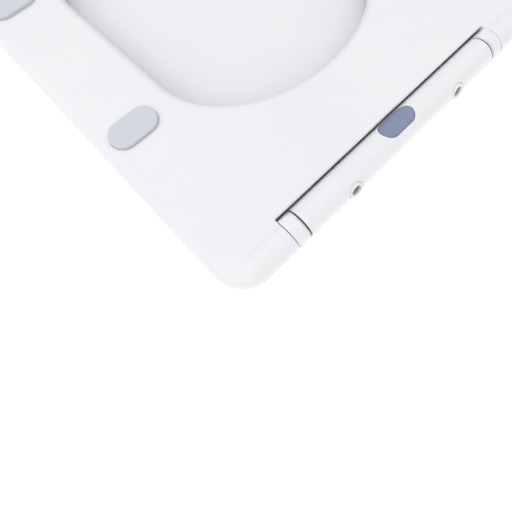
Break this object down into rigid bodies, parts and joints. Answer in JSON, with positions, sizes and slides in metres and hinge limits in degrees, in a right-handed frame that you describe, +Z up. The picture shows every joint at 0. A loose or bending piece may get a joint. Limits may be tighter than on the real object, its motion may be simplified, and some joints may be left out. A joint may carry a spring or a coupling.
{
  "type": "toilet seat",
  "caption": "Soft-close toilet seat with a push-button quick-release hinge bar, lying unmounted on its closed lid with the underside of the ring up.",
  "frame": {"origin": "middle of the bounding box in plan, on the lid's flat outer face, which the seat lies on", "axes": "+Z up out of the ring's underside, +X along the hinge axis, +Y from the hinge to the front of the seat"},
  "size_m": [0.36, 0.4318, 0.0359],
  "materials": {
    "white_shell": "moulded thermoset, glossy white",
    "bumper_grey": "soft pale grey elastomer, satin",
    "button_blue": "moulded blue-grey plastic, satin",
    "bearing_plastic": "acetal, off-white, satin",
    "dark_plastic": "glass-filled nylon, dark grey",
    "seal_rubber": "black nitrile rubber",
    "stainless": "stainless steel, turned or stamped"
  },
  "bodies": {
    "lid": {"lid": "white_shell", "lid_bumper_rear_left": "bumper_grey", "lid_bumper_front_left": "bumper_grey", "lid_bumper_rear_right": "bumper_grey", "lid_bumper_front_right": "bumper_grey", "lid_hinge_shaft": "stainless", "knuckle_bush_left": "bearing_plastic", "damper_rotor_right": "dark_plastic"},
    "ring": {"seat_ring": "white_shell", "ring_bumper_rear_left": "bumper_grey", "ring_bumper_front_left": "bumper_grey", "ring_bumper_rear_right": "bumper_grey", "ring_bumper_front_right": "bumper_grey", "ring_hinge_shaft": "stainless", "ear_bush_right": "bearing_plastic", "damper_rotor_left": "dark_plastic"},
    "hinge_bar": {"hinge_bar": "white_shell", "latch_rail": "dark_plastic", "rail_screw_left": "stainless", "rail_screw_right": "stainless", "post_socket_left": "bearing_plastic", "post_socket_right": "bearing_plastic", "damper_housing_left": "dark_plastic", "damper_housing_right": "dark_plastic", "damper_cap_left": "dark_plastic", "damper_cap_right": "dark_plastic", "damper_seal_left": "seal_rubber", "damper_seal_right": "seal_rubber", "bar_end_bush_left": "dark_plastic", "bar_end_bush_right": "dark_plastic", "latch_spring_left": "stainless", "latch_spring_right": "stainless"},
    "button": {"release_button": "button_blue"},
    "latch_left": {"latch_slide_left": "stainless"},
    "latch_right": {"latch_slide_right": "stainless"}
  },
  "joints": [
    {"name": "ring_hinge", "type": "hinge", "parent": "lid", "child": "ring", "pos_m": [0, -0.201, 0.0226], "axis": [1, 0, 0], "range_deg": [0, 105]},
    {"name": "bar_hinge", "type": "hinge", "parent": "lid", "child": "hinge_bar", "pos_m": [0, -0.201, 0.0226], "axis": [1, 0, 0], "range_deg": [-72, 33]},
    {"name": "button_press", "type": "slide", "parent": "hinge_bar", "child": "button", "axis": [0, -0.309, -0.9511], "range_m": [0, 0.003], "stiffness_N_per_m": 1200},
    {"name": "latch_left_slide", "type": "slide", "parent": "hinge_bar", "child": "latch_left", "axis": [-1, 0, 0], "range_m": [0, 0.003], "deforming": ["latch_spring_left"]},
    {"name": "latch_right_slide", "type": "slide", "parent": "hinge_bar", "child": "latch_right", "axis": [1, 0, 0], "range_m": [0, 0.003], "deforming": ["latch_spring_right"]}
  ],
  "couplings": [
    {"joint": "latch_left_slide", "follows": "button_press", "ratio": 1},
    {"joint": "latch_right_slide", "follows": "button_press", "ratio": 1}
  ]
}
